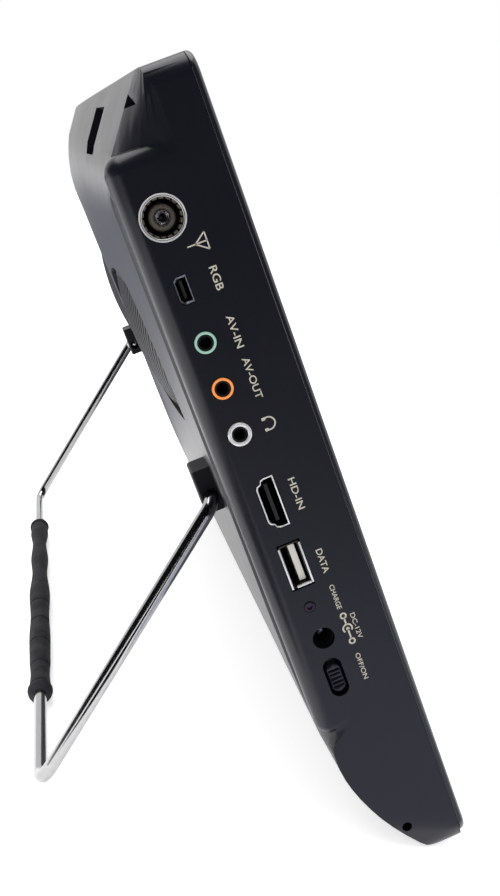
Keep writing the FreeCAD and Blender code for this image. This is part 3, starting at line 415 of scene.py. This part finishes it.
# Jack sections as (radius, depth below the port side): the dark dish inside each coloured rim
# and the black lining of its bore, which is painted shade down the bore.
JACK_RIM_INNER, JACK_RIM_RISE, JACK_RIM_DEPTH = 2.2, 0.28, 0.4
JACK_DISH = [(1.78, 0.0), (2.25, -0.04), (2.25, 0.5), (1.78, 0.5)]
JACK_BORE = [(1.5, 0.6), (1.79, 0.05), (1.79, 9.0), (1.5, 9.0)]
JACKS = (
    ("green", "av_in_jack", jack_green, 2.9),
    ("orange", "av_out_jack", jack_orange, 2.9),
    ("phones", "headphone_jack", ring_metal, 3.2),
)
for kind, node, look, rim_outer in JACKS:
    jack_y, jack_z = socket_centre(node)
    softened(f"jack_{kind}_body", node, look)
    rim = rounded_rim(JACK_RIM_INNER, rim_outer, JACK_RIM_RISE, JACK_RIM_DEPTH)
    turned(f"jack_{kind}_rim", rim, jack_y, jack_z, look, slot_of[node])
    turned(f"jack_{kind}_dish", JACK_DISH, jack_y, jack_z, socket_black_and_shade, "moulded_black")
    turned(f"jack_{kind}_bore", JACK_BORE, jack_y, jack_z, socket_black_and_shade, "moulded_black")


def spring_fingers(y, z, count=18, width=0.68):
    """The ring of short spring fingers just inside the aerial socket's shell.

    Each finger takes width of its share of the ring, in two flat runs.
    """
    bm = bmesh.new()
    for index in range(count):
        start = 2 * math.pi * index / count
        corners = []
        for depth in (0.9, 4.5):
            for share in (0.0, 0.5, 1.0):
                angle = start + share * width * 2 * math.pi / count
                for radius in (4.75, 5.22):
                    corners.append(bm.verts.new((FACE + depth, y + radius * math.cos(angle),
                                                 z + radius * math.sin(angle))))
        for near, far in ((0, 2), (2, 4)):
            front = [corners[near], corners[near + 1], corners[far + 1], corners[far]]
            back = [corners[near + 6], corners[near + 7], corners[far + 7], corners[far + 6]]
            bm.faces.new(front)
            bm.faces.new(list(reversed(back)))
            bm.faces.new((corners[near], corners[far], corners[far + 6], corners[near + 6]))
            bm.faces.new((corners[near + 1], corners[near + 7], corners[far + 7], corners[far + 1]))
        for end in (0, 4):
            bm.faces.new((corners[end], corners[end + 6], corners[end + 7], corners[end + 1]))
    bmesh.ops.recalc_face_normals(bm, faces=bm.faces)
    finished("spring_fingers", mesh_from("spring_fingers", bm), finger_brass)


def bar(name, y_low, y_high, z_low, z_high, look, slot, rise=0.1, depth=0.8, rounding=0.08):
    """A bar let into the port side, its outer edges rounded over."""
    bm = bmesh.new()
    bmesh.ops.create_cube(bm, size=1)
    span = Vector((rise + depth, y_high - y_low, z_high - z_low))
    middle = Vector((FACE + (depth - rise) / 2, (y_low + y_high) / 2, (z_low + z_high) / 2))
    bmesh.ops.scale(bm, verts=bm.verts, vec=span)
    bmesh.ops.translate(bm, verts=bm.verts, vec=middle)
    bmesh.ops.bevel(bm, geom=list(bm.edges), offset=rounding, segments=2, profile=0.5,
                    affect="EDGES")
    finished(name, mesh_from(name, bm, RIM_CREASE), look)


def data_lips():
    """Bright metal folded edges of the data socket's shell: two long ones and a short foot. The top edge has no
    lip and stays dark, as painted shade where that edge lies in shadow.
    """
    y, z = socket_centre("data_shell")
    half_y, half_z, width = 3.25, 6.6, 0.5
    foot_low, foot_high = 0.7, 1.6     # the foot stops short of both long lips
    low, high = z - half_z, z + half_z - 0.6
    lips = {
        "data_lip_back": (y + half_y - width, y + half_y, low, high),
        "data_lip_front": (y - half_y, y - half_y + width, low, high),
        "data_lip_foot": (y - half_y + foot_low, y + half_y - foot_high, low, low + width),
    }
    for name, extent in lips.items():
        bar(name, *extent, ring_metal, "plated_metal")


data_lips()
LED_RING = [(0.85, -0.06), (1.2, -0.12), (1.5, -0.02), (1.5, 0.4), (0.85, 0.4)]
turned("led_ring", LED_RING, *socket_centre("charge_led"), led_dark, "led_plastic", 40)
AERIAL_LIP = [(5.2, 0.2), (5.62, -0.03), (5.62, 0.5), (5.2, 1.0)]
aerial_centre = socket_centre("antenna_shell")
spring_fingers(*aerial_centre)
turned("aerial_lip", AERIAL_LIP, *aerial_centre, socket_brown, "moulded_black")


# ------------------------------------------------------------------ the foam grip
# The foam's radius at places along the crossbar, and where it is creased, in millimetres.
GRIP_WAVES = [(-86.0, 3.9), (-75.0, 3.55), (-63.0, 3.95), (-43.0, 4.15), (-21.0, 3.8), (4.0, 4.4),
              (30.0, 3.4), (49.0, 4.05), (70.0, 3.25), (86.0, 4.2), (93.0, 4.0)]
GRIP_CREASES = [-69.0, -49.0, -28.0, -9.0]
CREASE_DEPTH, CREASE_WIDTH = 0.6, 0.55
GRIP_END_RADII = (3.9, 4.0)
BALL_RADIUS, BALL_MIDDLE, BALL_REACH, BALL_LENGTH = 4.6, 3.0, 3.4, 5.0
NECK_LENGTH, NECK_RADIUS = 6.0, 3.35
FOAM_LEAST = 2.3        # the foam is always wider than the wire inside it


def grip_radius(x, low, high):
    """The foam's radius: slow waves from squeezing, a few tight creases and a ball at each end."""
    knots = [(low, GRIP_END_RADII[0])] + GRIP_WAVES + [(high, GRIP_END_RADII[1])]
    for (x0, r0), (x1, r1) in zip(knots, knots[1:]):
        if x <= x1:
            share = (x - x0) / (x1 - x0)
            radius = r0 + (r1 - r0) * (3 - 2 * share) * share * share
            break
    for crease in GRIP_CREASES:
        radius -= CREASE_DEPTH * math.exp(-((x - crease) / CREASE_WIDTH) ** 2)
    for end, inward in ((low, 1), (high, -1)):
        along = (x - end) * inward
        if along < NECK_LENGTH:
            bulge = max(1 - ((along - BALL_MIDDLE) / BALL_REACH) ** 2, 0.0)
            ball = BALL_RADIUS * math.sqrt(bulge)
            radius = ball if along < BALL_LENGTH else min(radius, max(ball, NECK_RADIUS))
    return max(radius, FOAM_LEAST)


def foam_sleeve():
    """The foam sleeve on the crossbar, slightly out of round."""
    low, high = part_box("bail_grip")
    low, high = Vector(low) / MM, Vector(high) / MM
    middle_y, middle_z = (low.y + high.y) / 2, (low.z + high.z) / 2
    steps, around = 760, 48
    bm = bmesh.new()
    rings = []
    for step in range(steps + 1):
        x = low.x + (high.x - low.x) * step / steps
        radius = grip_radius(x, low.x, high.x)
        ring = []
        for spoke in range(around):
            angle = 2 * math.pi * spoke / around
            squeeze = 0.012 * (1 + math.sin(2 * angle + x * 0.05))
            ripple = 0.008 * (1 + math.sin(5 * angle - x * 0.11))
            dent = 1 - squeeze - ripple
            ring.append(bm.verts.new((x, middle_y + radius * dent * math.cos(angle),
                                      middle_z + radius * dent * math.sin(angle))))
        rings.append(ring)
    for first, second in zip(rings, rings[1:]):
        for spoke in range(around):
            after = (spoke + 1) % around
            bm.faces.new((first[spoke], first[after], second[after], second[spoke]))
    bm.faces.new(list(reversed(rings[0])))
    bm.faces.new(rings[-1])
    bmesh.ops.recalc_face_normals(bm, faces=bm.faces)
    finished("foam_sleeve", mesh_from("foam_sleeve", bm, 60), foam_black, "bail",
             Matrix.Scale(MM, 4), ("bail_grip",))


foam_sleeve()


# ------------------------------------------------------------------ printed labels
LABEL_DEPTH = 0.03      # mm that ink stands off the surface
LETTER_BOLDNESS, LETTER_STEPS = 0.01, 6
TEXT_FRAME = Matrix(((0, 0, -1, 0), (0, -1, 0, 0), (-1, 0, 0, 0), (0, 0, 0, 1)))


def on_side(y, z, out=0.0):
    """Drawing axes on the port side: x runs down the side, y towards the screen, z outwards."""
    return Matrix.Translation((FACE - out, y, z)) @ TEXT_FRAME


def printed_on_side(name, mesh, y, z, out=LABEL_DEPTH):
    """A flat mesh becomes ink on the port side."""
    finished(name, mesh, ink, place=LEAN @ on_side(y, z, out))


def words(name, text, y, z, height, length):
    """A generic word printed on the port side, fitted to a height and a length."""
    curve = bpy.data.curves.new(name, "FONT")
    curve.body = text
    curve.align_x = "CENTER"
    curve.align_y = "CENTER"
    curve.offset = LETTER_BOLDNESS
    curve.extrude = 0.0
    curve.resolution_u = LETTER_STEPS
    holder = bpy.data.objects.new(name + "_text", curve)
    bpy.context.scene.collection.objects.link(holder)
    bpy.context.view_layer.update()
    mesh = bpy.data.meshes.new_from_object(holder)
    bpy.data.objects.remove(holder)
    xs = [vertex.co.x for vertex in mesh.vertices]
    ys = [vertex.co.y for vertex in mesh.vertices]
    centre = Vector(((min(xs) + max(xs)) / 2, (min(ys) + max(ys)) / 2, 0))
    mesh.transform(Matrix.Translation(-centre))
    stretch = Matrix.Diagonal((length / (max(xs) - min(xs)), height / (max(ys) - min(ys)), 1, 1))
    mesh.transform(stretch)
    printed_on_side(name, mesh, y, z)


# Piece name, word, height up the side, distance behind the face, letter height, word length.
LABELS = [
    ("label_rgb", "RGB", 183.2, 14.0, 2.1, 6.4),
    ("label_av_in", "AV-IN", 168.6, 14.3, 2.0, 9.0),
    ("label_av_out", "AV-OUT", 155.4, 14.2, 2.0, 11.6),
    ("label_hd_in", "HD-IN", 121.0, 13.8, 1.9, 9.4),
    ("label_data", "DATA", 99.8, 13.4, 1.8, 7.4),
    ("label_charge", "CHARGE", 88.2, 13.5, 1.4, 7.8),
    ("label_dc", "DC-12V", 77.6, 10.7, 1.4, 8.2),
    ("label_off_on", "OFF/ON", 65.2, 13.2, 1.4, 8.6),
]
for name, text, z, y, height, length in LABELS:
    words(name, text, y, z, height, length)


def stroke_mesh(name, paths, width):
    """Flat printed strokes, from (points, closed) with each point an (x, y) in the label's axes."""
    bm = bmesh.new()
    for path, closed in paths:
        points = [Vector((x, y, 0)) for x, y in path]
        count = len(points)
        left, right = [], []
        for index, point in enumerate(points):
            before = points[index - 1] if index or closed else point
            after = points[(index + 1) % count] if index < count - 1 or closed else point
            run = (after - before).normalized()
            side = Vector((-run.y, run.x, 0)) * width / 2
            left.append(bm.verts.new(point + side))
            right.append(bm.verts.new(point - side))
        last = count if closed else count - 1
        for index in range(last):
            following = (index + 1) % count
            bm.faces.new((right[index], right[following], left[following], left[index]))
    return mesh_from(name, bm)


def arc_points(x, y, radius, start, end, steps=20):
    """Points round an arc, in degrees."""
    span = [math.radians(start + (end - start) * step / steps) for step in range(steps + 1)]
    return [(x + radius * math.cos(angle), y + radius * math.sin(angle)) for angle in span]


def aerial_symbol():
    """A mast with an open triangle at its top."""
    paths = [([(0, -3.1), (0, 2.2)], False), ([(-2.3, 2.2), (2.3, 2.2)], False),
             ([(-2.3, 2.2), (0, -0.9)], False), ([(2.3, 2.2), (0, -0.9)], False)]
    mesh = stroke_mesh("symbol_aerial", paths, width=0.36)
    printed_on_side("symbol_aerial", mesh, 15.2, 193.0)


def headphone_symbol():
    """A headband with two ear pads."""
    paths = [(arc_points(0, 0, 1.75, -25, 205), False), ([(-1.75, -0.5), (-1.75, -1.5)], False),
             ([(1.75, -0.5), (1.75, -1.5)], False)]
    mesh = stroke_mesh("symbol_headphones", paths, width=0.42)
    pads = stroke_mesh("symbol_ear_pads", [([(-1.5, -0.5), (-1.5, -1.5)], False),
                                           ([(1.5, -0.5), (1.5, -1.5)], False)],
                       width=0.75)
    printed_on_side("symbol_headphones", mesh, 14.3, 142.3)
    printed_on_side("symbol_ear_pads", pads, 14.3, 142.3, LABEL_DEPTH + 0.01)


def polarity_symbol():
    """Two small rings joined to a cup and a dot."""
    ring = 0.78
    paths = [(arc_points(-4.1, 0, ring, 0, 360), False), (arc_points(4.1, 0, ring, 0, 360), False),
             ([(-3.3, 0), (-1.4, 0)], False), ([(0.3, 0), (3.3, 0)], False),
             (arc_points(0, 0, 1.3, 50, 310), False), (arc_points(0.1, 0, 0.28, 0, 360, 12), False)]
    mesh = stroke_mesh("symbol_polarity", paths, width=0.5)
    printed_on_side("symbol_polarity", mesh, 13.3, 77.8)


def button_middle(node):
    """The height of the middle of a button's front face."""
    points = [UPRIGHT @ vertex.co for vertex in nodes[node].data.vertices]
    nearest = min(point.y for point in points)
    heights = [point.z for point in points if point.y < nearest + FACE_SLACK]
    return (min(heights) + max(heights)) / 2


def button_signs():
    """Plain drawn signs on the front buttons: lines, arrows, plus, minus and a power ring."""
    minus = [([(-1.3, 0), (1.3, 0)], False)]
    signs = {
        "button_source": [([(-1.5, -1.0), (1.5, -1.0), (1.5, 1.0), (-1.5, 1.0)], True)],
        "button_menu": [([(-1.3, up), (1.3, up)], False) for up in (-0.9, 0, 0.9)],
        "button_volume_down": minus,
        "button_volume_up": minus + [([(0, -1.3), (0, 1.3)], False)],
        "button_channel_down": [([(-1.4, 0.7), (0, -0.7), (1.4, 0.7)], False)],
        "button_channel_up": [([(-1.4, -0.7), (0, 0.7), (1.4, -0.7)], False)],
        "button_standby": [(arc_points(0, 0, 1.3, 125, 415), False), ([(0, 0.2), (0, 1.7)], False)],
    }
    facing = Matrix.Rotation(math.radians(90), 4, "X")
    for node, paths in signs.items():
        low, high = upright_box(node)
        centre = Vector(((low.x + high.x) / 2, low.y - LABEL_DEPTH, button_middle(node)))
        place = Matrix.Translation(centre) @ facing
        mesh = stroke_mesh("sign_" + node, paths, width=0.35)
        finished("sign_" + node, mesh, ink, body=node, place=LEAN @ place)


aerial_symbol()
headphone_symbol()
polarity_symbol()
button_signs()


# ------------------------------------------------------------------ floor, light and camera
def surface(name, size_x, size_y, place, look):
    """A flat rectangle that belongs to the studio, not to the object."""
    mesh = bpy.data.meshes.new(name)
    corners = [(-size_x / 2, -size_y / 2, 0), (size_x / 2, -size_y / 2, 0),
               (size_x / 2, size_y / 2, 0), (-size_x / 2, size_y / 2, 0)]
    mesh.from_pydata(corners, [], [(0, 1, 2, 3)])
    mesh.materials.append(look)
    piece = bpy.data.objects.new(name, mesh)
    piece.matrix_world = place
    bpy.context.scene.collection.objects.link(piece)
    return piece


def glowing(name, colour, rough, specular, glow_colour, strength):
    """A plain dull surface with a glow of its own."""
    material, shader = new_material(name)
    shader.inputs["Base Color"].default_value = (*colour, 1)
    shader.inputs["Roughness"].default_value = rough
    shader.inputs["Specular IOR Level"].default_value = specular
    shader.inputs["Emission Color"].default_value = (*glow_colour, 1)
    shader.inputs["Emission Strength"].default_value = strength
    return material


FLOOR_SIZE, FLOOR_GLOW = 12, 0.62
floor_white = glowing("floor_white", (0.9, 0.9, 0.9), 0.9, 0.1, (1, 1, 1), FLOOR_GLOW)
surface("floor", FLOOR_SIZE, FLOOR_SIZE, Matrix.Identity(4), floor_white)
bpy.context.scene.view_settings.view_transform = "Standard"


def softbox(name, place, aim, wide, tall, power):
    """A rectangular area light that faces aim."""
    light = bpy.data.lights.new(name, "AREA")
    light.shape = "RECTANGLE"
    light.size, light.size_y = wide, tall
    light.energy = power
    holder = bpy.data.objects.new(name, light)
    holder.location = place
    holder.rotation_euler = (Vector(aim) - Vector(place)).to_track_quat("-Z", "Y").to_euler()
    bpy.context.scene.collection.objects.link(holder)


world = bpy.data.worlds.new("studio")
bpy.context.scene.world = world
world.use_nodes = True
background = world.node_tree.nodes["Background"]
background.inputs["Color"].default_value = (1, 1, 1, 1)
background.inputs["Strength"].default_value = 1.0
softbox("top_light", (0.1, 0.2, 1.3), (0, 0, 0.1), 1.2, 1.2, 10)

FLAG_TINT = (0.82, 0.84, 1.0)
FLAG_HEIGHT = 0.004     # metres that a floor flag lies above the floor


def flag(name, wide, tall, place, shade):
    """A grey flag that only reflections see, as a studio hides one outside the frame."""
    cloth = glowing(name + "_cloth", (0, 0, 0), 1.0, 0.0, FLAG_TINT, shade)
    card = surface(name, wide, tall, place, cloth)
    card.visible_camera = False
    card.visible_diffuse = False
    card.visible_shadow = False


def floor_flag(name, x_low, x_high, y_low, y_high, shade):
    """A flag lying just above the floor."""
    middle = ((x_low + x_high) / 2, (y_low + y_high) / 2, FLAG_HEIGHT)
    flag(name, x_high - x_low, y_high - y_low, Matrix.Translation(middle), shade)


facing_ports = Matrix.Rotation(math.radians(90), 4, "Y")
flag("port_flag", 2.6, 2.7, Matrix.Translation((-0.95, -0.15, 0.95)) @ facing_ports, 0.004)
facing_back = Matrix.Rotation(math.radians(90), 4, "X")
flag("rear_side_flag", 1.15, 1.7, Matrix.Translation((-0.42, 0.95, 0.85)) @ facing_back, 0.01)
floor_flag("port_floor_near", -0.35, -0.18, -0.37, 0.0, 0.85)
floor_flag("port_floor_middle", -0.60, -0.35, -0.37, 0.0, 0.5)
floor_flag("port_floor_far", -0.94, -0.60, -0.37, 0.0, 0.1)
floor_flag("port_floor_rear", -0.94, -0.605, 0.0, 0.295, 0.02)
floor_flag("wire_streak_flag", -0.60, -0.215, 0.02, 0.13, 0.01)
floor_flag("rear_floor_flag", -0.94, -0.20, 0.30, 0.9, 0.012)
floor_flag("far_floor_flag", 0.24, 1.8, -0.7, 0.9, 0.42)

# The camera, in the upright set's millimetres and directions.
CAMERA_PLACE = LEAN @ Vector((-466.2, 44.0, 227.6))
CAMERA_RIGHT = turn @ Vector((-0.17568, -0.92551, -0.33551))
CAMERA_AHEAD = turn @ Vector((0.95297, -0.07439, -0.29379))
LENS_MM, SENSOR_MM, CLIP_START = 46.2, 36.0, 0.01


def place_camera():
    """Close to the port side, a little behind it and above, turned about its own axis."""
    camera = bpy.data.objects.new("camera", bpy.data.cameras.new("camera"))
    camera.data.lens = LENS_MM
    camera.data.sensor_width = SENSOR_MM
    camera.data.clip_start = CLIP_START
    ahead = CAMERA_AHEAD.normalized()
    right = (CAMERA_RIGHT - ahead * CAMERA_RIGHT.dot(ahead)).normalized()
    up = right.cross(ahead)
    rotation = Matrix((right, up, -ahead)).transposed()
    camera.matrix_world = Matrix.Translation(CAMERA_PLACE) @ rotation.to_4x4()
    bpy.context.scene.collection.objects.link(camera)
    bpy.context.scene.camera = camera


place_camera()
